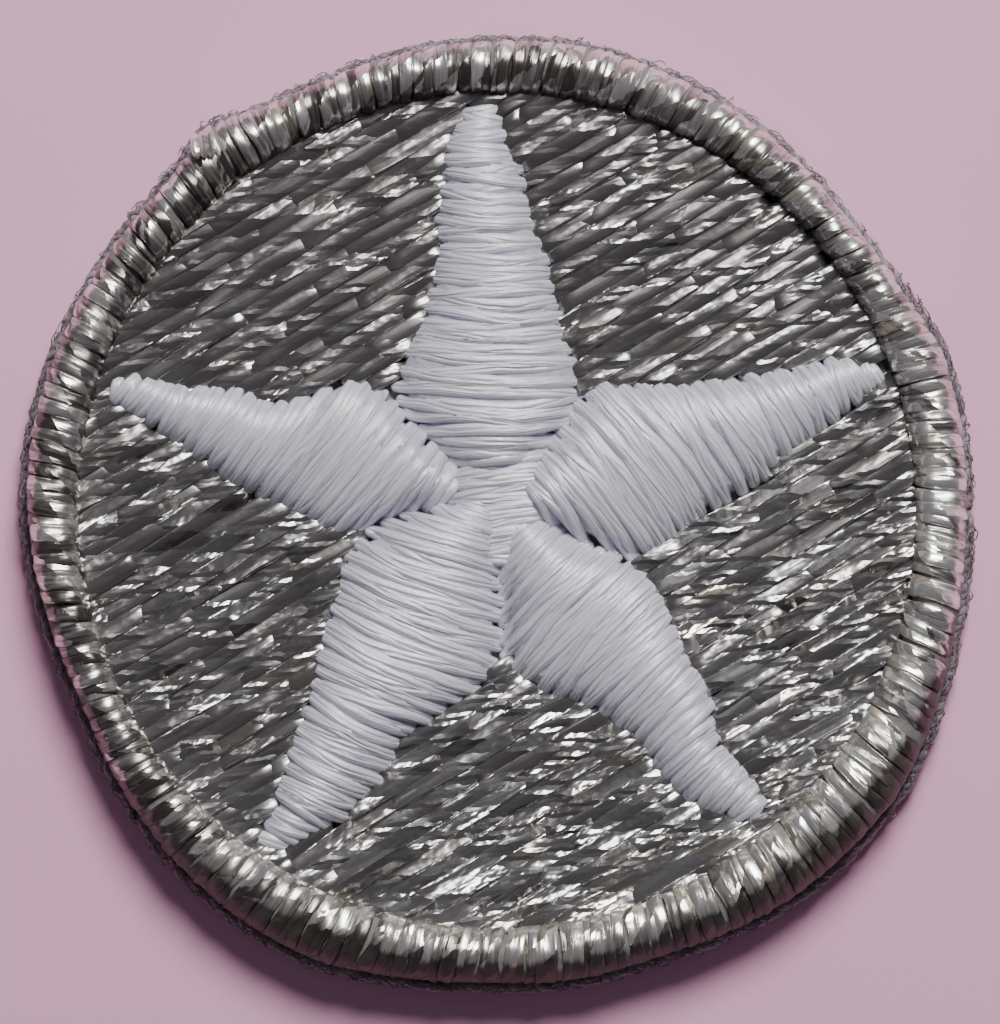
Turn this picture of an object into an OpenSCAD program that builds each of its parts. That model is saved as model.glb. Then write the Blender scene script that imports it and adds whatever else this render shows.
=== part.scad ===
// Round embroidered patch: a raised star of five satin-stitched arms on a
// field of silver filling stitches, with an overedged binding round the rim.
// Lengths are in millimetres. The back lies on z = 0 and the face looks up +Z.
// The top arm of the star points along +Y.

/* [Patch] */
// Nominal diameter over the binding
patch_d = 25.4; // [22:0.1:40]
// Clearance left between neighbouring pieces
gap = 0.04; // [0.02:0.01:0.08]

/* [Ground cloth] */
// Thickness of the cloth with its stiffening
cloth_t = 1.0; // [0.9:0.05:1.6]
// Thickness of the rim that the binding presses flat
rim_t = 0.5; // [0.3:0.05:0.5]

/* [Silver field] */
// Thickness of the layer of silver filling stitches
field_t = 0.4; // [0.2:0.05:0.7]

/* [Star] */
// Height of the padded arms over the cloth
arm_h = 0.95; // [0.5:0.05:1.4]
// Distance from the star's tips to the binding
tip_gap = 0.13; // [0.05:0.01:1]

/* [Binding] */
// Nominal width of the binding on the face
bind_w = 1.7; // [1.5:0.05:2.4]
// Height of the binding over the cloth
bead_h = 1.1; // [0.8:0.05:1.6]
// Thickness of the binding thread under the rim
under_t = 0.3; // [0.2:0.02:0.34]
// Thickness of the binding thread outside the rim
side_t = 0.45; // [0.3:0.05:0.7]
// Radius of the binding's lower outer corner
foot_r = 0.35; // [0.1:0.05:0.6]

/* [Hidden] */

silver = [0.62, 0.61, 0.58];
dull_silver = [0.42, 0.42, 0.40];
white_thread = [0.88, 0.88, 0.93];
ground = [0.80, 0.80, 0.78];

bind_in_r = patch_d / 2 - bind_w;
star_r = bind_in_r - tip_gap;
rim_z = under_t + gap;
rim_top = rim_z + rim_t;
stitch_z = cloth_t + gap;

ring_steps = 90;
arch_steps = 8;
foot_steps = 3;
arm_steps = 24;
dome_steps = 10;
dome_power = 0.6;
round_fn = 120;

// The patch's outline as sewn: the angle from +X and the reach as a share of
// the nominal radius. The lump at 128 degrees is where the binding's ends meet.
// angle, reach
outline = [
    [0, 0.996], [10, 1.000], [20, 1.004], [28, 0.979], [40, 0.965],
    [50, 0.979], [60, 0.990], [80, 1.004], [100, 0.995], [112, 0.984],
    [122, 0.990], [128, 1.030], [133, 0.988], [145, 0.988], [158, 0.992],
    [170, 1.000], [180, 0.997], [190, 0.985], [205, 0.969], [220, 0.996], [230, 1.013],
    [247, 1.031], [260, 1.010], [270, 1.002], [280, 1.010], [290, 1.006],
    [307, 1.033], [325, 1.042], [335, 1.023], [345, 1.004], [360, 0.996]
];

// The star's arms. Each row is a section across the arm: its distance from
// the star's centre and the arm's reach to its left and to its right, as
// shares of the star's radius, and its crown as a share of the arm's height.
// Left is to the left of someone who looks from the centre to the tip.
// along, left, right, crown
top_arm = [
    [0.10, 0.05, 0.05, 0.72], [0.145, 0.115, 0.115, 0.92], [0.205, 0.165, 0.175, 1],
    [0.28, 0.22, 0.215, 1], [0.33, 0.235, 0.22, 1], [0.39, 0.215, 0.195, 1],
    [0.45, 0.17, 0.175, 1], [0.51, 0.157, 0.168, 1], [0.57, 0.132, 0.158, 1],
    [0.63, 0.12, 0.15, 0.97], [0.69, 0.118, 0.122, 0.94], [0.755, 0.112, 0.11, 0.9],
    [0.815, 0.102, 0.105, 0.85], [0.875, 0.09, 0.065, 0.8], [0.94, 0.06, 0.055, 0.7],
    [0.99, 0.03, 0.045, 0.45]
];
upper_right_arm = [
    [0.075, 0.025, 0.03, 0.66], [0.12, 0.07, 0.08, 0.9], [0.17, 0.105, 0.13, 1],
    [0.25, 0.16, 0.188, 1], [0.30, 0.20, 0.228, 1], [0.33, 0.222, 0.23, 1],
    [0.37, 0.20, 0.212, 1], [0.45, 0.167, 0.18, 1], [0.57, 0.13, 0.157, 1],
    [0.64, 0.115, 0.145, 0.97], [0.70, 0.105, 0.112, 0.92], [0.81, 0.086, 0.082, 0.86],
    [0.90, 0.079, 0.045, 0.78], [0.955, 0.052, 0.027, 0.65], [0.99, 0.025, 0.016, 0.45]
];
lower_right_arm = [
    [0.05, 0.025, 0.02, 0.6], [0.085, 0.05, 0.045, 0.8], [0.12, 0.07, 0.075, 0.94],
    [0.18, 0.085, 0.118, 1], [0.235, 0.105, 0.165, 1], [0.27, 0.145, 0.195, 1],
    [0.32, 0.17, 0.23, 1], [0.375, 0.185, 0.228, 1], [0.435, 0.175, 0.195, 1], [0.49, 0.155, 0.155, 1],
    [0.545, 0.132, 0.13, 0.97], [0.61, 0.124, 0.112, 0.94], [0.695, 0.115, 0.108, 0.9],
    [0.74, 0.06, 0.114, 0.86], [0.79, 0.047, 0.11, 0.84], [0.84, 0.051, 0.105, 0.8],
    [0.90, 0.056, 0.08, 0.75], [0.95, 0.05, 0.045, 0.65], [0.985, 0.036, 0.012, 0.45]
];
lower_left_arm = [
    [-0.07, 0.015, 0.055, 0.5], [-0.03, 0.035, 0.10, 0.55], [0.02, 0.025, 0.088, 0.65],
    [0.06, 0.05, 0.10, 0.82], [0.10, 0.065, 0.138, 0.94],
    [0.145, 0.098, 0.178, 1], [0.205, 0.142, 0.207, 1], [0.28, 0.188, 0.245, 1],
    [0.325, 0.21, 0.245, 1], [0.375, 0.222, 0.222, 1], [0.435, 0.193, 0.202, 1],
    [0.49, 0.174, 0.188, 1], [0.545, 0.152, 0.165, 1], [0.59, 0.115, 0.138, 0.97],
    [0.62, 0.128, 0.13, 0.95], [0.685, 0.14, 0.12, 0.93], [0.725, 0.138, 0.108, 0.9],
    [0.775, 0.122, 0.094, 0.88], [0.82, 0.125, 0.08, 0.85], [0.885, 0.075, 0.055, 0.75],
    [0.935, 0.06, 0.04, 0.65], [0.985, 0.038, 0.048, 0.45]
];
upper_left_arm = [
    [0.115, 0.015, 0.03, 0.6], [0.17, 0.04, 0.075, 0.86], [0.225, 0.065, 0.115, 1],
    [0.295, 0.125, 0.15, 1], [0.34, 0.18, 0.185, 1], [0.38, 0.18, 0.20, 1],
    [0.44, 0.168, 0.2, 1], [0.485, 0.16, 0.15, 1], [0.54, 0.152, 0.11, 1],
    [0.595, 0.143, 0.083, 1], [0.63, 0.138, 0.08, 0.97], [0.665, 0.13, 0.095, 0.95],
    [0.72, 0.11, 0.08, 0.9], [0.78, 0.092, 0.061, 0.86], [0.84, 0.073, 0.047, 0.8],
    [0.90, 0.055, 0.049, 0.74], [0.955, 0.041, 0.04, 0.65], [0.99, 0.032, 0.018, 0.45]
];

// Direction of each arm's tip from +X, and its table of sections
top_dir = 92.4;
upper_right_dir = 19;
lower_right_dir = -50;
lower_left_dir = 236.2;
upper_left_dir = 162.4;
// Share of the star's radius that the arms' inner ends cover between them
hub_share = 0.36;

// A column of a table against its first column, eased over a step each side
function column(table, key, col, step) =
    let (pairs = [for (row = table) [row[0], row[col]]])
    (lookup(key - step, pairs) + 2 * lookup(key, pairs) + lookup(key + step, pairs)) / 4;

function turn(angle) = (angle % 360 + 360) % 360;
function reach(angle) =
    let (pairs = [for (row = outline) [row[0], row[1]]], step = 360 / ring_steps)
    patch_d / 2 * (lookup(turn(angle - step / 2), pairs)
        + 2 * lookup(turn(angle), pairs) + lookup(turn(angle + step / 2), pairs)) / 4;

// Outline of the patch drawn in by a distance
function outline_points(inset) =
    [for (i = [0:ring_steps - 1])
        let (angle = i * 360 / ring_steps, r = reach(angle) - inset)
        [r * cos(angle), r * sin(angle)]];

// Faces of a closed tube of sections that all have the same number of points
function side_faces(sections, points) =
    [for (i = [0:sections - 2], j = [0:points - 1], k = [0, 1])
        let (a = i * points + j, b = i * points + (j + 1) % points, c = a + points, d = b + points)
        k == 0 ? [a, c, b] : [b, c, d]];

// Section of the binding: over the rim, round the edge and back under the rim
function bind_section(out_r) =
    let (
        mid = (bind_in_r + out_r) / 2, half = (out_r - bind_in_r) / 2,
        spring = stitch_z + field_t / 2, rise = cloth_t + bead_h - spring,
        slot_r = out_r - side_t, lip = under_t / 3
    )
    concat(
        [for (i = [0:arch_steps])
            let (a = 180 - i * 180 / arch_steps) [mid + half * cos(a), spring + rise * sin(a)]],
        [for (i = [0:foot_steps])
            let (a = -i * 90 / foot_steps)
            [out_r - foot_r + foot_r * cos(a), foot_r + foot_r * sin(a)]],
        [[bind_in_r + lip, 0], [bind_in_r, lip], [bind_in_r, under_t],
            [slot_r, under_t], [slot_r, rim_top + gap], [bind_in_r, rim_top + gap]]
    );

module binding_ring() {
    sections = [for (i = [0:ring_steps])
        let (angle = i * 360 / ring_steps)
        [for (p = bind_section(reach(angle))) [p[0] * cos(angle), p[0] * sin(angle), p[1]]]];
    points = len(sections[0]);
    total = ring_steps * points;
    polyhedron(
        points = [for (i = [0:ring_steps - 1]) each sections[i]],
        faces = [for (f = side_faces(ring_steps + 1, points)) [for (v = f) v % total]]
    );
}

// Half section of an arm at a distance from the centre: [left, right, crown]
function arm_section(table, along) =
    [for (col = [1, 2, 3]) column(table, along, col, 0.012)];
function arm_place(table, i) =
    let (first = table[0][0], last = table[len(table) - 1][0])
    first + (last - first) * i / arm_steps;

// A padded arm: sections with a flat foot and a rounded top, from the centre to the tip
module padded_arm(dir, table) {
    count = dome_steps + 1;
    sections = [for (i = [0:arm_steps])
        let (
            along = arm_place(table, i), s = arm_section(table, along),
            left = s[0] * star_r, right = s[1] * star_r,
            mid = (left - right) / 2, half = (left + right) / 2
        )
        [for (j = [0:dome_steps])
            let (a = j * 180 / dome_steps)
            [along * star_r, mid + half * cos(a), stitch_z + arm_h * s[2] * pow(sin(a), dome_power)]]];
    last = arm_steps * count;
    rotate([0, 0, dir])
        polyhedron(
            points = [for (s = sections) each s],
            faces = concat(
                side_faces(arm_steps + 1, count),
                [[for (j = [0:dome_steps]) j], [for (j = [dome_steps:-1:0]) last + j]]
            )
        );
}

// Plan of an arm with its clearance, for the opening that it is sewn into
module arm_opening(dir, table) {
    places = [for (i = [0:arm_steps]) arm_place(table, i)];
    first = places[0];
    last = places[arm_steps];
    function edge(along, col, side) =
        [along * star_r + (along == first ? -gap : along == last ? gap : 0),
            side * (arm_section(table, along)[col] * star_r + gap)];
    rotate(dir)
        polygon(concat(
            [for (along = places) edge(along, 0, 1)],
            [for (i = [arm_steps:-1:0]) edge(places[i], 1, -1)]
        ));
}

module base_cloth() {
    color(ground) {
        cylinder(h = cloth_t, r = bind_in_r - gap, $fn = round_fn);
        translate([0, 0, rim_z])
            linear_extrude(rim_t)
                polygon(outline_points(side_t + gap));
    }
}

module silver_field() {
    color(dull_silver)
        translate([0, 0, stitch_z])
            linear_extrude(field_t)
                difference() {
                    circle(r = bind_in_r - gap, $fn = round_fn);
                    circle(r = hub_share * star_r, $fn = round_fn);
                    arm_opening(top_dir, top_arm);
                    arm_opening(upper_right_dir, upper_right_arm);
                    arm_opening(lower_right_dir, lower_right_arm);
                    arm_opening(lower_left_dir, lower_left_arm);
                    arm_opening(upper_left_dir, upper_left_arm);
                }
}

module merrow_border() { color(silver) binding_ring(); }
module star_arm_top() { color(white_thread) padded_arm(top_dir, top_arm); }
module star_arm_upper_right() { color(white_thread) padded_arm(upper_right_dir, upper_right_arm); }
module star_arm_lower_right() { color(white_thread) padded_arm(lower_right_dir, lower_right_arm); }
module star_arm_lower_left() { color(white_thread) padded_arm(lower_left_dir, lower_left_arm); }
module star_arm_upper_left() { color(white_thread) padded_arm(upper_left_dir, upper_left_arm); }

base_cloth();
silver_field();
merrow_border();
star_arm_top();
star_arm_upper_right();
star_arm_lower_right();
star_arm_lower_left();
star_arm_upper_left();
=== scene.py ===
"""Dresses a round embroidered patch in its threads: a raised white star sewn in satin stitch,
a field of silver foil filling stitches, and a silver overedge binding round the ground cloth."""

import math
import random
from typing import NamedTuple

import bmesh
import bpy
import numpy as np
from mathutils import Matrix, Vector, noise
from mathutils.bvhtree import BVHTree


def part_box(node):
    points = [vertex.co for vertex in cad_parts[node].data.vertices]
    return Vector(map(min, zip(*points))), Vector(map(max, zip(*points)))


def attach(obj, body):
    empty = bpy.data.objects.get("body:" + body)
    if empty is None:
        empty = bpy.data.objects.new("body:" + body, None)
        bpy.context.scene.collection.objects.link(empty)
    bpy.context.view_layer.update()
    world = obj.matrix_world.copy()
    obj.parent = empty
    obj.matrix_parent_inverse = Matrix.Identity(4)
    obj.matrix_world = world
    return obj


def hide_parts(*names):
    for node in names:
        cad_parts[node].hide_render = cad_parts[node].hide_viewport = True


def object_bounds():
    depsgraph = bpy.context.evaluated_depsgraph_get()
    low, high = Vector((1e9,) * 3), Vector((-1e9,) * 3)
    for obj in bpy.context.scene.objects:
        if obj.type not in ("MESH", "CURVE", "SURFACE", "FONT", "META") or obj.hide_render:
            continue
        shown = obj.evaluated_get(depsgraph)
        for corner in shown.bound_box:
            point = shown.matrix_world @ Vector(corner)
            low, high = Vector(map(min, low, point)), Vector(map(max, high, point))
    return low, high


bl_info = {
    "name": "Embroidered Patch",
    "version": (1, 0, 0),
    "blender": (4, 5, 0),
    "location": "View3D > Sidebar > Patch",
    "description": "Sews the threads of an embroidered patch over its solid parts",
    "category": "Object",
}

MM = 0.001
UP = Vector((0, 0, 1))
RIGHT = Vector((1, 0, 0))
FULL_TURN = 2 * math.pi
THREAD_UV = "thread"
THREAD_SPACING = 8  # threads lie this many mm apart in the UV map, so no two look alike
THREAD_TOP = 0.75  # share of the way round a thread at which its top lies
FLAT_TOP = 0.09  # how far the top of a flat thread reaches to each side, as such a share
WELD = 1e-8  # points that lie closer than this become one
PIXEL = 0.026514 * MM  # width of a pixel of the photograph on the patch
PICTURE_SIZE = (1000, 1024)  # the photograph's width and height in pixels
CENTRE_PIXEL = (497, 509)  # the patch's centre in the photograph
ARM_REACH = 4 * MM  # more than half the width of any arm of the star
STAR_MIDDLE = 4.2 * MM  # stitches run on under each other nearer to the centre than this
JOIN_START = Vector((-7.72, 9.2, 0)) * MM
JOIN_STOP = Vector((-7.85, 10.0, 0)) * MM
KEY_DISTANCE = 240 * MM
FILL_PLACE = Vector((-200, -120, 160)) * MM
FILL_WIDTH = 200 * MM
ROOM_COLOUR = (0.85, 0.80, 1.0, 1.0)

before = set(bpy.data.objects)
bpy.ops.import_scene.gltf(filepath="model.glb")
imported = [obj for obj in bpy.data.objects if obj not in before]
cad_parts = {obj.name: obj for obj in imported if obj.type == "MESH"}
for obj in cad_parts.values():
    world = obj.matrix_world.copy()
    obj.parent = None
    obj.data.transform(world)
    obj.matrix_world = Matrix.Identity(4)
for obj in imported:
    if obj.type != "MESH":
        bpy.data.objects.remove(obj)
CAD_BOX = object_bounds()
FIELD_LOW, FIELD_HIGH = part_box("silver_field")
CLOTH_LOW, CLOTH_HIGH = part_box("base_cloth")
BINDING_LOW, BINDING_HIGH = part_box("merrow_border")


class StarArm(NamedTuple):
    """How one arm of the star is sewn."""

    node: str
    tip_deg: float  # direction of the tip from +X
    lean_in_deg: float  # turn of the innermost stitch from square across the arm
    lean_out_deg: float  # the same at the tip
    sag: float  # bow of a stitch towards the centre, as a share of its length


STAR_ARMS = (
    StarArm("star_arm_top", 92.4, -2, -4, 0.05),
    StarArm("star_arm_upper_right", 19, 22, 8, -0.04),
    StarArm("star_arm_lower_right", -50, 6, 4, 0.03),
    StarArm("star_arm_lower_left", 236.2, 16, 10, -0.04),
    StarArm("star_arm_upper_left", 162.4, -24, -14, 0.03),
)


def size(name, description, default):
    """A length that a user can change, in metres."""
    return bpy.props.FloatProperty(
        name=name, description=description, default=default, min=0,
        subtype="DISTANCE", unit="LENGTH", precision=5)


def share(name, description, default):
    """A share from 0 to 1 that a user can change."""
    return bpy.props.FloatProperty(
        name=name, description=description, default=default, min=0, max=1, subtype="FACTOR")


def turn(name, description, degrees):
    """An angle that a user can change."""
    return bpy.props.FloatProperty(
        name=name, description=description, default=math.radians(degrees),
        subtype="ANGLE", unit="ROTATION")


def power(name, description, default):
    """A lamp's power that a user can change."""
    return bpy.props.FloatProperty(
        name=name, description=description, default=default, min=0, unit="POWER")


def tint(name, description, default):
    """A colour that a user can change."""
    return bpy.props.FloatVectorProperty(
        name=name, description=description, default=default, min=0, max=1, size=3,
        subtype="COLOR")


class PATCH_PG_cloth(bpy.types.PropertyGroup):
    """The ground cloth that everything is sewn through."""

    yarn_pitch: size("Yarn pitch", "Distance between neighbouring yarns", 0.44 * MM)
    yarn_width: size("Yarn width", "Width of one yarn of the weave", 0.42 * MM)
    yarn_thickness: size("Yarn thickness", "Thickness of one yarn of the weave", 0.13 * MM)
    colour: tint("Colour", "Colour of the yarns", (0.72, 0.71, 0.70))


class PATCH_PG_field(bpy.types.PropertyGroup):
    """The silver filling stitches."""

    row_pitch: size("Row pitch", "Distance between neighbouring rows", 0.411 * MM)
    row_turn: turn("Row direction", "Direction of the rows from +X", 31)
    stitch_length: size("Stitch length", "Distance between needle holes in a row", 3.4 * MM)
    width: size("Thread width", "Width of the foil thread lying flat", 0.52 * MM)
    thickness: size("Thread thickness", "Thickness of the foil thread", 0.3 * MM)
    tuck: size("Tuck", "How far a stitch runs on under the star and the binding", 0.42 * MM)
    bare_middle: size("Bare middle", "Radius under the star's middle without stitches", 3.9 * MM)
    fold_length: size("Fold length", "Length of one turn of the foil", 0.95 * MM)
    fold_slant: share("Fold slant", "How far a turn runs on across the thread", 0.55)
    flatness: share("Flatness", "How flat a turn stays where the thread bends, per mm", 0.0)
    sliced: share("Sliced turns", "Share of the turns that are cut in slices", 0.45)
    plenty: share("Open turns", "Share of the turns that tilt and can flash", 0.36)
    tilt: share("Tilt", "How steeply a turn of the foil can tilt", 0.7)
    lengthwise: share("Lengthwise tilt", "How much of the tilt there is along the thread", 1.0)
    twist: share("Twist", "How far the turns of the foil all lean one way", 0.12)
    lean: share("Lean", "How far the threads lean to +Y at the right and the left", 0.0)
    # painted light and shade: the foil is lighter on the side of a thread that faces +Y, darker on
    # the other side
    painted_light_facing_y: share("Polish", "How much lighter the foil is where it faces +Y, per mm", 0.0)
    streak_depth: share("Streak depth", "Depth of the fine streaks of the foil in mm", 0.012)
    variety: share("Variety", "How much the turns of the foil differ in tone", 0.3)
    metal: share("Metal", "How mirror-like the foil is", 0.85)
    roughness: share("Roughness", "Roughness of the smoothest turns", 0.2)
    light: tint("Light foil", "Colour of the lighter turns", (0.44, 0.43, 0.418))
    dark: tint("Dark foil", "Colour of the darker turns", (0.27, 0.254, 0.246))


class PATCH_PG_binding(bpy.types.PropertyGroup):
    """The silver overedge stitches round the rim."""

    stitches: bpy.props.IntProperty(
        name="Stitches", description="Number of stitches round the rim", default=248, min=24)
    fibres: bpy.props.IntProperty(
        name="Loose fibres", description="Number of fibres that stand out of the chain",
        default=1500, min=0)
    width: size("Thread width", "Width of the binding thread", 0.37 * MM)
    thickness: size("Thread thickness", "Thickness of the binding thread", 0.24 * MM)
    slant: size("Slant", "Sideways run of a stitch from its inner to its outer end", 0.3 * MM)
    edge_inset: size("Edge inset", "Room left for the chain under the outer edge", 0.2 * MM)
    fold_length: size("Fold length", "Length of one turn of the foil", 0.65 * MM)
    fold_slant: share("Fold slant", "How far a turn runs on across the thread", 0.3)
    flatness: share("Flatness", "How flat a turn stays where the thread bends, per mm", 0.2)
    sliced: share("Sliced turns", "Share of the turns that are cut in slices", 0.15)
    plenty: share("Open turns", "Share of the turns that tilt and can flash", 0.3)
    tilt: share("Tilt", "How steeply a turn of the foil can tilt", 0.55)
    lengthwise: share("Lengthwise tilt", "How much of the tilt there is along the thread", 0.5)
    twist: share("Twist", "How far the turns of the foil all lean one way", 0.0)
    lean: share("Lean", "How far the threads lean to +Y at the right and the left", 0.09)
    # painted light and shade: the foil is lighter on the side of a thread that faces +Y, darker on
    # the other side
    painted_light_facing_y: share("Polish", "How much lighter the foil is where it faces +Y, per mm", 0.26)
    streak_depth: share("Streak depth", "Depth of the fine streaks of the foil in mm", 0.015)
    variety: share("Variety", "How much the turns of the foil differ in tone", 0.55)
    metal: share("Metal", "How mirror-like the foil is", 0.85)
    roughness: share("Roughness", "Roughness of the smoothest turns", 0.22)
    light: tint("Light foil", "Colour of the lighter turns", (0.95, 0.93, 0.87))
    dark: tint("Dark foil", "Colour of the darker turns", (0.15, 0.13, 0.116))
    # The chain's colour is a dark mauve: painted shade and a painted pink reflection of the floor
    # on a pale thread
    chain: tint("Chain", "Colour of the soft thread under the edge", (0.42, 0.36, 0.39))


class PATCH_PG_star(bpy.types.PropertyGroup):
    """The raised satin stitches of the star."""

    needle_pitch: size("Needle pitch", "Distance between needle holes on one side", 0.4 * MM)
    width: size("Thread width", "Width of a satin stitch", 0.42 * MM)
    thickness: size("Thread thickness", "Thickness of a satin stitch", 0.27 * MM)
    padding_depth: size("Padding depth", "How deep the padding lies under the top", 0.12 * MM)
    overrun: size("Overrun", "How far a stitch runs past the arm's outline", 0.1 * MM)
    middle_overrun: size("Middle overrun", "How much farther it runs at the middle", 0.35 * MM)
    colour: tint("Colour", "Colour of the white thread", (0.90, 0.87, 1.0))
    shade: tint("Shade", "Colour deep between the stitches", (0.36, 0.32, 0.54))


class PATCH_PG_stage(bpy.types.PropertyGroup):
    """The floor, the lights and the camera."""

    floor: tint("Floor", "Colour of the floor", (1.0, 0.53, 0.74))
    key_power: power("Key light", "Power of the main light", 0.66)
    key_rise: turn("Key elevation", "Height of the main light above the horizon", 48)
    key_turn: turn("Key direction", "Direction of the main light from +X", 76)
    key_width: size("Key width", "Width of the main light", 105 * MM)
    fill_power: power("Fill light", "Power of the fill light", 0.008)
    room: share("Room", "Brightness of the room around the patch", 0.085)
    camera_distance: size("Camera distance", "Distance from the camera to the patch", 160 * MM)
    camera_rise: turn("Camera elevation", "Height of the camera above the horizon", 86)


class Link:
    """A shader socket on which Python's own operators work."""

    def __init__(self, shader, socket):
        self.shader = shader
        self.socket = socket

    def __add__(self, other):
        return self.shader.maths("ADD", self, other)

    def __mul__(self, other):
        return self.shader.maths("MULTIPLY", self, other)

    def __sub__(self, other):
        return self.shader.maths("SUBTRACT", self, other)

    def __rsub__(self, other):
        return self.shader.maths("SUBTRACT", other, self)

    def __truediv__(self, other):
        return self.shader.maths("DIVIDE", self, other)

    def __lt__(self, other):
        return self.shader.maths("LESS_THAN", self, other)

    def __abs__(self):
        return self.shader.maths("ABSOLUTE", self)

    __radd__ = __add__
    __rmul__ = __mul__


class Shader:
    """A material whose finish is set on one Principled shader."""

    def __init__(self, name, **constants):
        self.material = bpy.data.materials.new(name)
        self.material.use_nodes = True
        self.tree = self.material.node_tree
        self.surface = self.tree.nodes["Principled BSDF"]
        for socket, value in constants.items():
            self.surface.inputs[socket.replace("_", " ")].default_value = value

    def node(self, kind, settings=(), inputs=(), output=0):
        """Makes a node, sets it and fills its sockets, and gives one of its outputs."""
        made = self.tree.nodes.new(kind)
        for name, value in dict(settings).items():
            setattr(made, name, value)
        for name, value in dict(inputs).items():
            self.fill(made.inputs[name], value)
        return Link(self, made.outputs[output])

    def fill(self, socket, value):
        if isinstance(value, Link):
            self.tree.links.new(value.socket, socket)
        else:
            socket.default_value = value

    def maths(self, operation, *values):
        return self.node("ShaderNodeMath", {"operation": operation}, dict(enumerate(values)))

    def floor(self, value):
        return self.maths("FLOOR", value)

    def larger(self, first, second):
        return self.maths("MAXIMUM", first, second)

    def smaller(self, first, second):
        return self.maths("MINIMUM", first, second)

    def smooth(self, value, low, high):
        """0 below low and 1 above high, with a soft step between."""
        settings = {"interpolation_type": "SMOOTHSTEP"}
        inputs = {"Value": value, "From Min": low, "From Max": high}
        return self.node("ShaderNodeMapRange", settings, inputs)

    def blend(self, factor, first, second):
        """A colour between two colours."""
        inputs = {0: factor, 6: opaque(first), 7: opaque(second)}
        return self.node("ShaderNodeMix", {"data_type": "RGBA"}, inputs, output=2)

    def vector(self, x, y):
        return self.node("ShaderNodeCombineXYZ", (), {0: x, 1: y})

    def split(self, vector):
        made = self.node("ShaderNodeSeparateXYZ", (), {0: vector})
        return [Link(self, out) for out in made.socket.node.outputs]

    def thread(self):
        """How far along the thread a point lies in mm, and its share of the way round."""
        return self.split(self.node("ShaderNodeUVMap", {"uv_map": THREAD_UV}))[:2]

    def place(self):
        return self.node("ShaderNodeTexCoord", output="Object")

    def grain(self, vector, scale, detail=2.0):
        inputs = {"Vector": vector, "Scale": scale, "Detail": detail}
        return self.node("ShaderNodeTexNoise", (), inputs)

    def chance(self, number, kind):
        """A random value for each whole number, of its own for each kind."""
        settings = {"noise_dimensions": "2D"}
        inputs = {"Vector": self.vector(number, kind + 0.5)}
        return self.node("ShaderNodeTexWhiteNoise", settings, inputs)

    def bump(self, height, distance, strength=1.0):
        inputs = {"Height": height, "Distance": distance, "Strength": strength}
        self.finish(Normal=self.node("ShaderNodeBump", (), inputs))

    def finish(self, **links):
        for name, value in links.items():
            self.fill(self.surface.inputs[name.replace("_", " ")], value)
        return self.material


def opaque(colour):
    """A colour with its alpha, or a link as it is."""
    return colour if isinstance(colour, Link) else (*colour, 1.0)


def darker(colour, part):
    return tuple(part * value for value in colour)


def around_z(degrees):
    return Matrix.Rotation(math.radians(degrees), 3, "Z")


class Solid:
    """The surface of one solid of the frame, for threads to lie on."""

    def __init__(self, node):
        self.low, self.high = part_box(node)
        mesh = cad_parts[node].data
        self.points = [v.co.copy() for v in mesh.vertices]
        self.tree = BVHTree.FromPolygons(self.points, [tuple(p.vertices) for p in mesh.polygons])

    def top(self, place):
        """Height of the surface over a place in plan, or None beside the solid."""
        start = Vector((place[0], place[1], self.high.z + MM))
        hit = self.tree.ray_cast(start, -UP)[0]
        return None if hit is None else hit.z

    def reach(self, angle, z, inward=False):
        """Distance from the axis to the solid's wall at an angle and height."""
        out = Vector((math.cos(angle), math.sin(angle), 0))
        far = 2 * self.high.x
        start, direction = (UP * z + out * far, -out) if inward else (UP * z, out)
        hit = self.tree.ray_cast(start, direction)[0]
        if hit is None:
            raise ValueError(f"no wall at {math.degrees(angle):.1f} degrees")
        return Vector((hit.x, hit.y)).length

    def edges(self, middle, across, reach):
        """The two places where a line across the solid's plan leaves it, or None."""
        step = 0.04 * MM
        steps = int(reach / step)
        inside = [i for i in range(-steps, steps + 1)
                  if self.top(middle + across * (i * step)) is not None]
        if len(inside) < 3:
            return None
        return middle + across * (inside[0] * step), middle + across * (inside[-1] * step)


def distances(points):
    """How far along a path each of its points lies."""
    return np.insert(np.cumsum(np.linalg.norm(np.diff(points, axis=0), axis=1)), 0, 0)


def evenly(path, count):
    """The same path with its points at even distances."""
    lengths = distances(path)
    places = np.linspace(0, lengths[-1], count)
    return np.stack([np.interp(places, lengths, column) for column in path.T], axis=1)


def drift(place, seed, scale=1.0):
    """A smooth random value from about -1 to 1, by the distance along a thread in mm."""
    return noise.noise(Vector((place * scale, seed * 7.31, 0.5)))


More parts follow.
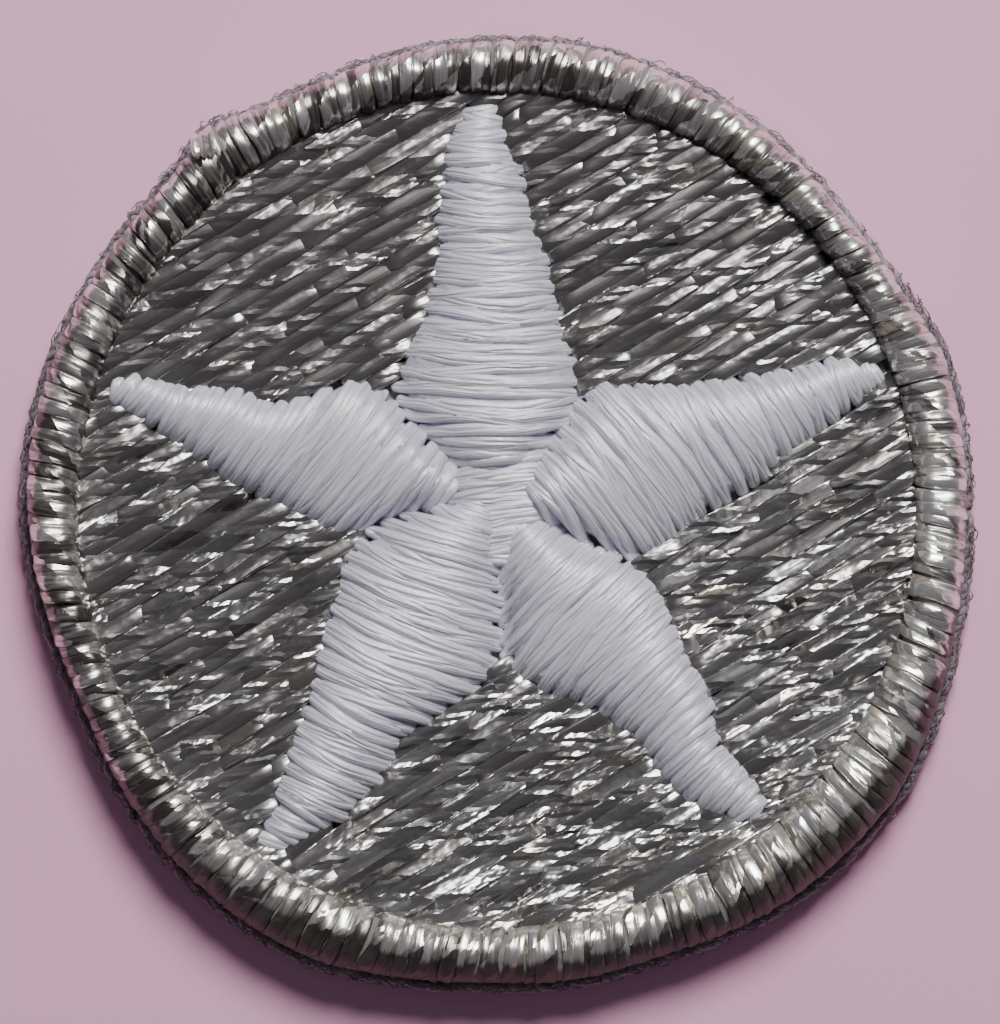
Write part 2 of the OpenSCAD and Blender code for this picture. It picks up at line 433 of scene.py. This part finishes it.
class Threads:
    """Threads that are laid one by one and then made one mesh of closed tubes."""

    def __init__(self, width, thickness, sides=8, squareness=2.0):
        self.runs = []
        self.sides = sides
        curve = bpy.data.curves.new("section", "CURVE")
        curve.dimensions = "2D"
        spline = curve.splines.new("POLY")
        spline.use_cyclic_u = True
        spline.points.add(sides - 1)
        for i, point in enumerate(spline.points):
            angle = -FULL_TURN * i / sides
            across = math.copysign(abs(math.cos(angle)) ** (2 / squareness), math.cos(angle))
            rise = math.copysign(abs(math.sin(angle)) ** (2 / squareness), math.sin(angle))
            point.co = (across * width / 2, rise * thickness / 2, 0, 1)
        self.section = bpy.data.objects.new("section", curve)

    def lay(self, points, radii=1.0, tilts=0.0, place=None):
        """Adds a thread. Its section stands up along Z, and place then moves it."""
        points = np.array(points, float)
        count = len(points)
        closed = np.ones(count)  # each end closes to a point, and is thinner just before it
        closed[[0, -1]] = 0
        closed[[1, -2]] = 0.7
        self.runs.append((points, radii * closed, np.broadcast_to(tilts, count), place))

    def make(self, name, material, slot):
        """The piece that all the threads make."""
        curve = bpy.data.curves.new(name, "CURVE")
        curve.dimensions = "3D"
        curve.twist_mode = "Z_UP"
        curve.bevel_mode = "OBJECT"
        curve.bevel_object = self.section
        for points, radii, tilts, _ in self.runs:
            spline = curve.splines.new("POLY")
            spline.points.add(len(points) - 1)
            spline.points.foreach_set("co", np.insert(points, 3, 1, axis=1).ravel())
            spline.points.foreach_set("radius", radii)
            spline.points.foreach_set("tilt", tilts)
        holder = bpy.data.objects.new(name, curve)
        bpy.context.scene.collection.objects.link(holder)
        graph = bpy.context.evaluated_depsgraph_get()
        mesh = bpy.data.meshes.new_from_object(holder.evaluated_get(graph))
        bpy.data.objects.remove(holder)
        bpy.data.objects.remove(self.section)
        self.move(mesh)
        self.unwrap(mesh)
        return finished(name, mesh, material)

    def move(self, mesh):
        """Puts each thread in its place."""
        co = np.empty(len(mesh.vertices) * 3, np.float32)
        mesh.vertices.foreach_get("co", co)
        co = co.reshape(-1, 3)
        start = 0
        for points, _, _, place in self.runs:
            stop = start + len(points) * self.sides
            if place is not None:
                matrix = np.array(place)
                co[start:stop] = co[start:stop] @ matrix[:3, :3].T + matrix[:3, 3]
            start = stop
        mesh.vertices.foreach_set("co", co.ravel())

    def unwrap(self, mesh):
        """Makes the UV map tell how far along its thread and round it a point lies."""
        layer = mesh.uv_layers[0]
        layer.name = THREAD_UV
        uv = np.empty(len(layer.data) * 2, np.float32)
        layer.data.foreach_get("uv", uv)
        uv = uv.reshape(-1, 2)
        start = 0
        for index, (points, _, _, _) in enumerate(self.runs):
            steps = len(points) - 1
            stop = start + steps * self.sides * 4
            ring = np.rint(uv[start:stop, 0] * steps).astype(int)
            uv[start:stop, 0] = distances(points)[ring] / MM + index * THREAD_SPACING
            start = stop
        layer.data.foreach_set("uv", uv.ravel())


def finished(name, mesh, material, smooth=True):
    """Welds a mesh, shades it and gives its object, which rides on the patch."""
    shape = bmesh.new()
    shape.from_mesh(mesh)
    bmesh.ops.remove_doubles(shape, verts=shape.verts, dist=WELD)
    for face in shape.faces:
        face.smooth = smooth
    shape.to_mesh(mesh)
    shape.free()
    mesh.materials.clear()
    mesh.materials.append(material)
    piece = bpy.data.objects.new(name, mesh)
    bpy.context.scene.collection.objects.link(piece)
    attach(piece, "root")
    return piece


def drawn_in(node, name, depth, material):
    """A copy of a solid of the frame, drawn in by a depth, as the filling under threads."""
    shape = bmesh.new()
    shape.from_mesh(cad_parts[node].data)
    bmesh.ops.remove_doubles(shape, verts=shape.verts, dist=0.001 * MM)
    shape.normal_update()
    for vert in shape.verts:
        vert.co -= vert.normal * depth
    mesh = bpy.data.meshes.new(name)
    shape.to_mesh(mesh)
    shape.free()
    return finished(name, mesh, material)


def foil_material(name, settings, painted_light_spread, crest=0.0, painted_shade_and_rough_from=THREAD_SPACING):
    """Foil wound on a core: each turn is a facet with a tilt of its own, or is cut in slices.

    The third argument is a painted light gradient: it says how many more turns are open, and
    how much lighter they are, towards +X and +Y. The crest is how many mm along a thread its
    highest point lies. A thread has painted shade, and is rougher, where it lies more than the
    given number of mm from its start, or a little more towards +Y, so that the binding's outer
    slope and underside look shaded.
    """
    shader = Shader(name, Metallic=settings.metal)
    along, around = shader.thread()
    x, y, _ = shader.split(shader.place())
    right, up = x / FIELD_HIGH.x, y / FIELD_HIGH.x
    # painted light gradient across the patch, towards +X and +Y
    painted_light_slope = right * painted_light_spread[0] + up * painted_light_spread[1]
    place = along - shader.floor(along / THREAD_SPACING) * THREAD_SPACING
    # painted shade, and more roughness, where a thread runs on past the given distance from its
    # start; that start moves out towards +Y
    painted_shade_and_rough = shader.smooth(place - up * 0.5, painted_shade_and_rough_from, painted_shade_and_rough_from + 0.5)
    fold = settings.fold_length / MM
    on_top = shader.smaller(shader.larger(around, THREAD_TOP - FLAT_TOP), THREAD_TOP + FLAT_TOP)
    across = (on_top - THREAD_TOP) * 8
    wander = shader.grain(shader.vector(along * 2.5, around * 9), 1.0, 1)
    turns = along / fold - across * settings.fold_slant + wander * 0.35
    whole = shader.floor(turns)
    patches = shader.smooth(shader.grain(shader.place(), 300, 1), 0.3, 0.7)
    plenty = patches * 0.35 + settings.plenty + painted_light_slope
    slices = (shader.chance(whole, 6) < settings.sliced) * 3 + 1
    cell = shader.floor(turns * slices) / slices
    open_turn = (shader.chance(cell, 7) < plenty) * 0.75 + 0.25
    middle = 0.5 + settings.twist
    tilt_along = (shader.chance(cell, 1) - middle) * open_turn * settings.tilt
    tilt_across = (middle - shader.chance(cell, 2)) * open_turn * settings.tilt
    tilt_across += right * settings.lean
    run = ((turns - cell) * slices - 0.5) * fold / slices
    facet = run * tilt_along * settings.lengthwise
    facet += across * tilt_across * (settings.width / MM)
    flat = run * run * settings.flatness
    streaks = shader.grain(shader.vector(along * 0.7, around * 12), 1.5, 3)
    tone = shader.chance(cell, 4) * settings.variety + streaks * 0.75 + open_turn * 0.2
    # painted light and shade: lighter where a thread faces +Y and darker where it faces away, plus
    # the painted light gradient
    tone += up * (place - crest) * settings.painted_light_facing_y + painted_light_slope * 0.3
    tone = shader.smooth(tone - painted_shade_and_rough, 0.4, 1.1)
    red, green, blue = settings.light
    warm = shader.smooth(shader.chance(whole, 5), 0.75, 1.0)
    light = shader.blend(warm, settings.light, (red, green * 0.92, blue * 0.82))
    shader.bump(facet + flat + streaks * settings.streak_depth, MM)
    return shader.finish(
        Base_Color=shader.blend(tone, settings.dark, light),
        Roughness=shader.chance(cell, 3) * 0.1 + settings.roughness + painted_shade_and_rough * 0.3)


def satin_material(name, colour, shade):
    """White thread of many fine fibres, with painted shade deep between the stitches."""
    shader = Shader(name, Roughness=0.33, IOR=1.8, Specular_IOR_Level=1.0, Subsurface_Weight=0.3,
                    Subsurface_Scale=0.12 * MM, Subsurface_Radius=(1.0, 0.95, 1.0),
                    Coat_Weight=0.9, Coat_Roughness=0.36, Coat_IOR=1.6)
    along, around = shader.thread()
    fibres = shader.grain(shader.vector(along * 0.5, around * 16), 1.6, 3)
    worn = shader.grain(shader.vector(along * 0.9, around * 2), 1.0, 1)
    # painted shade: the line between the two plies on top of a stitch is a little darker; the same
    # line is also a bump
    plies = shader.smooth(abs(around - THREAD_TOP + (worn - 0.5) * 0.2), 0.0, 0.06)
    # painted shade: away from its top a stitch takes on the shade colour; fibres and a slow random
    # tone along the thread vary it
    top = 1 - shader.smooth(abs(around - THREAD_TOP), 0.08, 0.26)
    tone = shader.smooth(top * 0.45 + fibres * 0.35 + worn * 0.6 + plies * 0.1, 0.3, 1.05)
    shader.bump(fibres + plies * 0.55, 0.06 * MM, 0.8)
    return shader.finish(Base_Color=shader.blend(tone, shade, colour))


def cotton_material(name, colour):
    """Soft matt thread."""
    shader = Shader(name, Roughness=0.85)
    along, around = shader.thread()
    fibres = shader.grain(shader.vector(along * 1.2, around * 7), 2, 3)
    shader.bump(fibres, 0.03 * MM, 0.8)
    tone = shader.smooth(fibres, 0.3, 0.7)
    return shader.finish(Base_Color=shader.blend(tone, darker(colour, 0.55), colour))


def filling_material(name, colour):
    """The thread mass that shows only as shade between the stitches."""
    shader = Shader(name, Roughness=0.9)
    speckle = shader.grain(shader.place(), 4000)
    shader.bump(speckle, 0.05 * MM)
    return shader.finish(Base_Color=shader.blend(speckle, darker(colour, 0.5), colour))


class PATCH_OT_ground_cloth(bpy.types.Operator):
    """Make the ground cloth and the weave that its back shows"""

    bl_idname = "patch.ground_cloth"
    bl_label = "Ground Cloth"

    def execute(self, context):
        settings = context.scene.patch_cloth
        material = filling_material("ground filling", settings.colour)
        self.disc(settings, material)
        self.weave(settings)
        return {"FINISHED"}

    def disc(self, settings, material):
        """The cloth: a disc whose rim runs inside the binding."""
        inner_r = FIELD_HIGH.x
        rim_r = min(CLOTH_HIGH.x, CLOTH_HIGH.y, -CLOTH_LOW.x, -CLOTH_LOW.y)
        low = CLOTH_LOW.z + settings.yarn_thickness
        rim_low, rim_high = 0.34 * MM, 0.84 * MM  # the rim's two faces inside the binding
        profile = [(0, low), (inner_r, low), (inner_r, rim_low), (rim_r, rim_low),
                   (rim_r, rim_high), (inner_r, rim_high), (inner_r, CLOTH_HIGH.z),
                   (0, CLOTH_HIGH.z)]
        shape = bmesh.new()
        verts = [shape.verts.new((r, 0, z)) for r, z in profile]
        edges = [shape.edges.new(pair) for pair in zip(verts, verts[1:])]
        bmesh.ops.spin(
            shape, geom=verts + edges, cent=(0, 0, 0), axis=UP, dvec=(0, 0, 0),
            angle=FULL_TURN, steps=120, use_merge=True, use_normal_flip=False,
            use_duplicate=False)
        bmesh.ops.remove_doubles(shape, verts=shape.verts, dist=WELD)
        bmesh.ops.recalc_face_normals(shape, faces=shape.faces)
        mesh = bpy.data.meshes.new("ground_cloth")
        shape.to_mesh(mesh)
        shape.free()
        cloth = finished("ground_cloth", mesh, material, smooth=False)
        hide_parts("base_cloth")

    def weave(self, settings):
        """The yarns that cross under the cloth, over one and under one."""
        threads = Threads(settings.yarn_width, settings.yarn_thickness, sides=6)
        pitch = settings.yarn_pitch
        weave_r = FIELD_HIGH.x - 0.05 * MM
        lines = int(weave_r / pitch)
        middle = CLOTH_LOW.z + settings.yarn_thickness * 0.85
        swing = settings.yarn_thickness * 0.3
        for way in (0, 1):
            for line in range(-lines, lines + 1):
                half = math.sqrt(weave_r ** 2 - (line * pitch) ** 2)
                steps = int(2 * half / pitch) * 2
                if steps < 4:
                    continue
                points = []
                for at in np.linspace(-half, half, steps + 1):
                    wave = math.cos(math.pi * (at / pitch + line + way))
                    place = (at, line * pitch) if way else (line * pitch, at)
                    points.append((*place, middle + swing * wave))
                threads.lay(points)
        threads.make("ground_weave", cotton_material("ground yarn", settings.colour),
                     "ground_cloth")


class PATCH_OT_silver_field(bpy.types.Operator):
    """Sew the rows of silver filling stitches"""

    bl_idname = "patch.silver_field"
    bl_label = "Silver Field"

    def execute(self, context):
        settings = context.scene.patch_field
        self.settings = settings
        self.dice = random.Random(11)
        self.arms = [Solid(arm.node) for arm in STAR_ARMS]
        self.threads = Threads(settings.width, settings.thickness, sides=12, squareness=4)
        self.run = Matrix.Rotation(settings.row_turn, 3, "Z") @ RIGHT
        self.side = UP.cross(self.run)
        field_r = FIELD_HIGH.x + settings.tuck
        rows = int(field_r / settings.row_pitch)
        for row in range(-rows, rows + 1):
            self.sew_row(row, math.sqrt(field_r ** 2 - (row * settings.row_pitch) ** 2))
        # (0.15, -0.5) is the painted light gradient: more open and lighter turns towards +X and -Y
        foil = foil_material("field foil", settings, (0.15, -0.5))
        piece = self.threads.make("silver_filling_stitches", foil, "silver_thread")
        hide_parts("silver_field")
        return {"FINISHED"}

    def place(self, row, at):
        return self.run * at + self.side * (row * self.settings.row_pitch)

    def under_star(self, place):
        if place.length < self.settings.bare_middle:
            return True
        return any(arm.top(place) is not None for arm in self.arms)

    def sew_row(self, row, half):
        """Cuts a row into stitches that stop at the star."""
        step = 0.1 * MM
        tuck = self.settings.tuck
        hole = (row * 0.37 % 1) * self.settings.stitch_length
        free = []
        for at in np.arange(-half, half, step):
            covered = self.under_star(self.place(row, at))
            stitch = math.floor((at - hole) / self.settings.stitch_length)
            if free and (covered or stitch != free[-1][1]):
                self.sew(row, free[0][0] - tuck, free[-1][0] + tuck)
                free = []
            if not covered:
                free.append((at, stitch))
        if free:
            self.sew(row, free[0][0] - tuck, free[-1][0])

    def sew(self, row, start, stop):
        """Lays one stitch: up out of the cloth, along the row and down again."""
        length = stop - start
        settings = self.settings
        if length < 2 * settings.tuck + 0.3 * MM:
            return
        low = FIELD_LOW.z + settings.thickness * 0.1
        high = (FIELD_LOW.z + FIELD_HIGH.z) / 2 + self.dice.uniform(0, 0.07) * MM
        seed = row + 10 * self.dice.random()
        veer = self.dice.uniform(-0.05, 0.05) * MM
        count = max(7, round(length / (0.2 * MM)))
        points = []
        for part in 0.5 - 0.5 * np.cos(np.linspace(0, math.pi, count)):
            at = start + length * part
            rise = min(1, min(at - start, stop - at) / (0.35 * MM))
            z = low + (high - low) * math.sin(rise * math.pi / 2)
            sway = drift(at / MM, seed, 0.5) * 0.07 * MM + veer * (2 * part - 1)
            points.append(self.place(row, at) + self.side * sway + UP * z)
        tilts = [0.4 * drift(step * 0.2, seed + 2, 0.8) for step in range(count)]
        radii = 0.72 + 0.28 * np.sin(np.linspace(0, math.pi, count)) ** 0.4
        self.threads.lay(points, radii, tilts)


class PATCH_OT_binding(bpy.types.Operator):
    """Sew the overedge stitches round the rim"""

    bl_idname = "patch.binding"
    bl_label = "Binding"

    def execute(self, context):
        settings = context.scene.patch_binding
        self.settings = settings
        self.solid = Solid("merrow_border")
        self.dice = random.Random(5)
        # the core takes the light foil's colour at 30 percent, as painted shade in the gaps between
        # the stitches
        drawn_in("merrow_border", "binding_core", settings.edge_inset + 0.02 * MM,
                 filling_material("binding filling", darker(settings.light, 0.3)))
        # painted light gradient (0.3, 0) towards +X, and painted shade on the outer slope and
        # underside past 1.8 mm along each stitch
        foil = foil_material("binding foil", settings, (0.3, 0), crest=1.25, painted_shade_and_rough_from=1.8)
        threads = Threads(settings.width, settings.thickness, sides=12, squareness=4)
        for index in range(settings.stitches):
            place = index + self.dice.uniform(-0.2, 0.2)
            self.sew(threads, FULL_TURN * place / settings.stitches)
        piece = threads.make("binding_stitches", foil, "binding_thread")
        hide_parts("merrow_border")
        # (0, 0.5) is the painted light gradient: more open and lighter turns towards +Y
        self.join(foil_material("join foil", settings, (0, 0.5)))
        # the chain and the fuzz take the chain colour, with its painted shade and pink reflection
        soft = cotton_material("chain thread", settings.chain)
        self.chain(soft)
        self.fuzz(soft)
        return {"FINISHED"}

    def section_path(self, angle):
        """The way of a stitch, as radius and height: over the rim and back under it."""
        half_t = self.settings.thickness / 2
        spring = (FIELD_LOW.z + FIELD_HIGH.z) / 2
        in_r = self.solid.reach(angle, FIELD_HIGH.z) + half_t
        out_r = self.solid.reach(angle, CLOTH_HIGH.z, inward=True) - half_t
        out_r -= self.settings.edge_inset
        mid, half = (in_r + out_r) / 2, (out_r - in_r) / 2
        rise = BINDING_HIGH.z - spring - half_t + self.dice.uniform(-0.12, 0.03) * MM
        foot = 0.3 * MM
        under = half_t + 0.06 * MM  # height of a thread's middle on the underside
        path = [(in_r, FIELD_LOW.z + half_t * 0.5)]
        steep = abs(math.sin(angle))
        for a in np.linspace(math.pi, 0, 16):
            # the arch is worn flat on top at the sides, and into two slopes at the top and bottom
            worn = 0.87 + 0.13 * steep - 0.4 * steep * abs(math.cos(a))
            path.append((mid + half * math.cos(a), spring + rise * min(math.sin(a), worn)))
        for a in np.linspace(0, -math.pi / 2, 4):
            path.append((out_r - foot * (1 - math.cos(a)), under + foot * (1 + math.sin(a))))
        for share_in in np.linspace(0.17, 1, 6):
            path.append((out_r - foot + (in_r - out_r + foot) * share_in, under))
        return evenly(np.array(path), 28)

    def sew(self, threads, angle):
        """Lays one stitch from the field over the rim and back under it."""
        dice = self.dice
        path = self.section_path(angle)
        lengths = distances(path)
        seed = dice.random() * 50
        start_side = dice.uniform(-0.08, 0.08) * MM
        points = []
        for (r, z), at in zip(path, lengths):
            part = at / lengths[-1]
            side = (min(part, 0.5) * 2 - 0.5) * self.settings.slant + start_side * (1 - part)
            side += drift(at / MM, seed, 0.7) * 0.11 * MM
            points.append((r, z, side))
        free = np.minimum(1, path[:, 1] / MM)  # on the underside a thread lies flat
        tilts = [drift(at / MM, seed + 3, 0.9) for at in lengths] * free * 0.5 - math.pi / 2
        place = Matrix.Rotation(angle, 4, "Z") @ Matrix.Rotation(math.pi / 2, 4, "X")
        swell = np.array([drift(at / MM, seed + 6, 1.8) for at in lengths])
        threads.lay(points, dice.uniform(0.85, 1.1) * (1 + 0.22 * swell), tilts, place)

    def join(self, foil):
        """Lays the cut ends where the binding meets itself, at the upper left."""
        threads = Threads(0.26 * MM, 0.2 * MM, squareness=2.6)
        lowest, sunk = 1.6 * MM, 0.05 * MM
        for side in (-1, 0, 1):
            shift = RIGHT * side * 0.19 * MM
            top = lowest
            points = []
            for part in np.linspace(0, 1, 9):
                place = JOIN_START.lerp(JOIN_STOP, part) + shift
                top = self.solid.top(place) or top
                points.append(place + UP * (max(top, lowest) - sunk))
            threads.lay(points)
        threads.make("binding_join", foil, "binding_thread")

    def chain(self, soft):
        """Lays the soft thread that locks the stitches under the outer edge."""
        ply_width = 0.22 * MM
        threads = Threads(ply_width, ply_width, sides=6)
        loops, per_loop = self.settings.stitches // 2, 8
        for ply in range(3):
            points = []
            for i in range(loops * per_loop + 1):
                angle = FULL_TURN * i / (loops * per_loop)
                wave = FULL_TURN * (i / per_loop + ply / 3) + 2 * drift(i * 0.05, 8)
                r = self.solid.reach(angle, CLOTH_HIGH.z, inward=True) - 0.14 * MM
                r += (0.07 * math.sin(wave) + 0.1 * drift(i * 0.23, 3 + ply)) * MM
                z = (0.45 + 0.17 * math.cos(wave) + 0.1 * drift(i * 0.19, 5 + ply)) * MM
                points.append((r * math.cos(angle), r * math.sin(angle), z))
            threads.lay(points)
        threads.make("binding_chain", soft, "binding_thread")

    def fuzz(self, soft):
        """Lays the loose fibres that stand out of the chain."""
        fibre_width = 0.035 * MM
        threads = Threads(fibre_width, fibre_width, sides=4)
        dice = self.dice
        for _ in range(self.settings.fibres):
            angle = dice.uniform(0, FULL_TURN)
            edge = self.solid.reach(angle, CLOTH_HIGH.z, inward=True) - dice.uniform(0.1, 0.25) * MM
            low, climb = dice.uniform(0.15, 0.9) * MM, dice.uniform(-0.1, 0.4) * MM
            run = dice.uniform(-0.7, 0.7) * MM
            bulge = dice.uniform(0.08, 0.2) * MM
            points = []
            for part in np.linspace(0, 1, 7):
                turned = angle + run * part / edge
                r = edge + bulge * math.sin(part * 2.6) + 0.03 * MM * dice.uniform(-1, 1)
                points.append((r * math.cos(turned), r * math.sin(turned), low + climb * part))
            threads.lay(points)
        threads.make("binding_fuzz", soft, "binding_thread")


class PATCH_OT_star(bpy.types.Operator):
    """Sew the star's raised satin stitches"""

    bl_idname = "patch.star"
    bl_label = "Star"

    def execute(self, context):
        settings = context.scene.patch_star
        self.settings = settings
        satin = satin_material("white satin", settings.colour, settings.shade)
        # the padding takes the thread's colour darkened, as painted shade in the gaps between the
        # stitches
        padding = filling_material("white padding", darker(settings.colour, 0.85))
        for arm in STAR_ARMS:
            drawn_in(arm.node, arm.node + "_padding", settings.padding_depth, padding)
            self.sew_arm(arm, satin)
        self.sew_middle(satin)
        return {"FINISHED"}

    def sew_middle(self, satin):
        """Lays short stitches where the arms meet, so that no ground shows between them."""
        threads = Threads(self.settings.width, self.settings.thickness, squareness=2.2)
        dice = random.Random(3)
        middle, reach, pitch = Vector((0.1, 0.25, 0)) * MM, 1.75 * MM, 0.23 * MM
        for line in range(-7, 8):
            offset = line * pitch
            half = math.sqrt(reach ** 2 - offset ** 2)
            lean = around_z(dice.uniform(-6, 14))
            points = []
            for part in np.linspace(-1, 1, 9):
                place = middle + UP.cross(RIGHT) * offset + lean @ RIGHT * (half * part)
                z = 1.1 + 0.42 * (1 - part ** 2) ** 0.5 + dice.uniform(-0.02, 0.02)
                points.append(place + UP * (z * MM))
            threads.lay(points)
        threads.make("star_middle_stitches", satin, "white_thread")

    def sew_arm(self, arm, satin):
        """Sews one arm in zigzag: each stitch starts in the hole where the last ended."""
        solid = Solid(arm.node)
        dice = random.Random(arm.node)
        tip = around_z(arm.tip_deg) @ RIGHT
        places = [point.dot(tip) for point in solid.points]
        first, last = min(places) + 0.08 * MM, max(places) - 0.08 * MM
        needles = round((last - first) / self.settings.needle_pitch) * 2
        holes = []
        for index in range(needles + 1):
            part = index / needles
            lean = arm.lean_in_deg + (arm.lean_out_deg - arm.lean_in_deg) * part
            across = around_z(arm.tip_deg + 90 + lean) @ RIGHT
            at = first + (last - first) * part + dice.uniform(-0.06, 0.06) * MM
            edges = solid.edges(tip * at, across, ARM_REACH)
            if edges:
                side = (-1, 1)[index % 2]
                overrun = self.settings.overrun
                overrun += self.settings.middle_overrun * max(0, 1 - at / STAR_MIDDLE)
                holes.append(edges[index % 2] + across * side * overrun)
        threads = Threads(self.settings.width, self.settings.thickness, squareness=2.2)
        for start, stop in zip(holes, holes[1:]):
            self.sew(threads, solid, start, stop, tip, arm.sag, dice)
        piece = threads.make(arm.node + "_stitches", satin, "white_thread")
        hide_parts(arm.node)

    def sew(self, threads, solid, start, stop, tip, sag, dice):
        """Lays one stitch from edge to edge over the padding."""
        settings = self.settings
        way = stop - start
        length = way.length
        if length < 0.3 * MM:
            return
        steps = max(8, min(26, round(length / (0.16 * MM))))
        sag *= dice.uniform(0.5, 1.5)
        lift = dice.uniform(-0.03, 0.03) * MM
        shift = tip * dice.uniform(-0.05, 0.05) * MM
        seed = dice.random() * 90
        floor = solid.low.z + settings.thickness * 0.3
        places, tops = [], []
        for step in range(steps + 1):
            part = 0.5 - 0.5 * math.cos(math.pi * step / steps)
            bow = sag * length * (1 - (2 * part - 1) ** 2)
            sway = drift(part * length / MM, seed, 0.6) * 0.12 * MM
            place = start + way * part + shift + tip * (sway - bow)
            places.append(place)
            tops.append(solid.top(place) or floor + settings.thickness)
        tops = np.array(tops)
        for _ in range(2):
            tops[1:-1] = (tops[:-2] + 2 * tops[1:-1] + tops[2:]) / 4
        points = []
        for step, (place, top) in enumerate(zip(places, tops)):
            rise = max(0, math.sin(math.pi * step / steps)) ** 0.35
            height = top + lift - settings.thickness / 2
            points.append((place.x, place.y, max(floor, floor + (height - floor) * rise)))
        radii = 0.6 + 0.4 * np.sin(np.linspace(0, math.pi, steps + 1)) ** 0.6
        tilts = [0.35 * drift(step * 0.3, seed + 4) for step in range(steps + 1)]
        threads.lay(points, radii * dice.uniform(0.92, 1.1), tilts)


class PATCH_OT_stage(bpy.types.Operator):
    """Set the floor, the lights and the camera"""

    bl_idname = "patch.stage"
    bl_label = "Stage"

    def execute(self, context):
        settings = context.scene.patch_stage
        self.floor(context.scene, settings)
        self.lights(context.scene, settings)
        self.camera(context.scene, settings)
        return {"FINISHED"}

    def floor(self, scene, settings):
        shape = bmesh.new()
        bmesh.ops.create_grid(shape, x_segments=1, y_segments=1, size=2.0)
        bmesh.ops.translate(shape, verts=shape.verts, vec=UP * (CAD_BOX[0].z - 0.01 * MM))
        mesh = bpy.data.meshes.new("floor")
        shape.to_mesh(mesh)
        shape.free()
        floor = bpy.data.objects.new("floor", mesh)
        scene.collection.objects.link(floor)
        shader = Shader("floor", Base_Color=opaque(settings.floor), Roughness=0.9)
        mesh.materials.append(shader.material)

    def lights(self, scene, settings):
        away = Vector((math.cos(settings.key_rise), 0, math.sin(settings.key_rise)))
        key_place = Matrix.Rotation(settings.key_turn, 3, "Z") @ away * KEY_DISTANCE
        lamps = (
            ("key", settings.key_power, key_place, settings.key_width),
            ("fill", settings.fill_power, FILL_PLACE, FILL_WIDTH),
        )
        for name, watts, place, width in lamps:
            light = bpy.data.lights.new(name, "AREA")
            light.energy = watts
            light.shape = "DISK"
            light.size = width
            lamp = bpy.data.objects.new(name, light)
            lamp.location = place
            lamp.rotation_euler = (-place).to_track_quat("-Z", "Y").to_euler()
            scene.collection.objects.link(lamp)
        world = bpy.data.worlds.new("room")
        world.use_nodes = True
        background = world.node_tree.nodes["Background"]
        background.inputs["Color"].default_value = ROOM_COLOUR
        background.inputs["Strength"].default_value = settings.room
        scene.world = world

    def camera(self, scene, settings):
        data = bpy.data.cameras.new("camera")
        data.sensor_width = 36
        view_height = PICTURE_SIZE[1] * PIXEL
        data.lens = data.sensor_width * settings.camera_distance / view_height
        data.clip_start = 0.01
        data.clip_end = 10
        camera = bpy.data.objects.new("camera", data)
        off_x = PICTURE_SIZE[0] / 2 - CENTRE_PIXEL[0]
        off_y = CENTRE_PIXEL[1] - PICTURE_SIZE[1] / 2
        target = Vector((off_x * PIXEL, off_y * PIXEL, MM))
        back = Vector((0, -math.cos(settings.camera_rise), math.sin(settings.camera_rise)))
        camera.location = target + back * settings.camera_distance
        camera.rotation_euler = (-back).to_track_quat("-Z", "Y").to_euler()
        scene.collection.objects.link(camera)
        scene.camera = camera


class PATCH_PT_panel(bpy.types.Panel):
    """The sizes and colours of the patch, and the steps that sew it"""

    bl_label = "Embroidered Patch"
    bl_idname = "PATCH_PT_panel"
    bl_space_type = "VIEW_3D"
    bl_region_type = "UI"
    bl_category = "Patch"

    def draw(self, context):
        for step, (group, cls) in zip(STEPS, GROUPS.items()):
            box = self.layout.box()
            for name in cls.__annotations__:
                box.prop(getattr(context.scene, group), name)
            box.operator(step.bl_idname)


STEPS = (PATCH_OT_ground_cloth, PATCH_OT_silver_field, PATCH_OT_binding, PATCH_OT_star,
         PATCH_OT_stage)
GROUPS = {
    "patch_cloth": PATCH_PG_cloth,
    "patch_field": PATCH_PG_field,
    "patch_binding": PATCH_PG_binding,
    "patch_star": PATCH_PG_star,
    "patch_stage": PATCH_PG_stage,
}
CLASSES = (*GROUPS.values(), *STEPS, PATCH_PT_panel)


def register():
    for cls in CLASSES:
        bpy.utils.register_class(cls)
    for name, group in GROUPS.items():
        setattr(bpy.types.Scene, name, bpy.props.PointerProperty(type=group))


def unregister():
    for name in GROUPS:
        delattr(bpy.types.Scene, name)
    for cls in reversed(CLASSES):
        bpy.utils.unregister_class(cls)


def main():
    register()
    for step in STEPS:
        group, name = step.bl_idname.split(".")
        getattr(getattr(bpy.ops, group), name)()


if __name__ == "__main__":
    main()
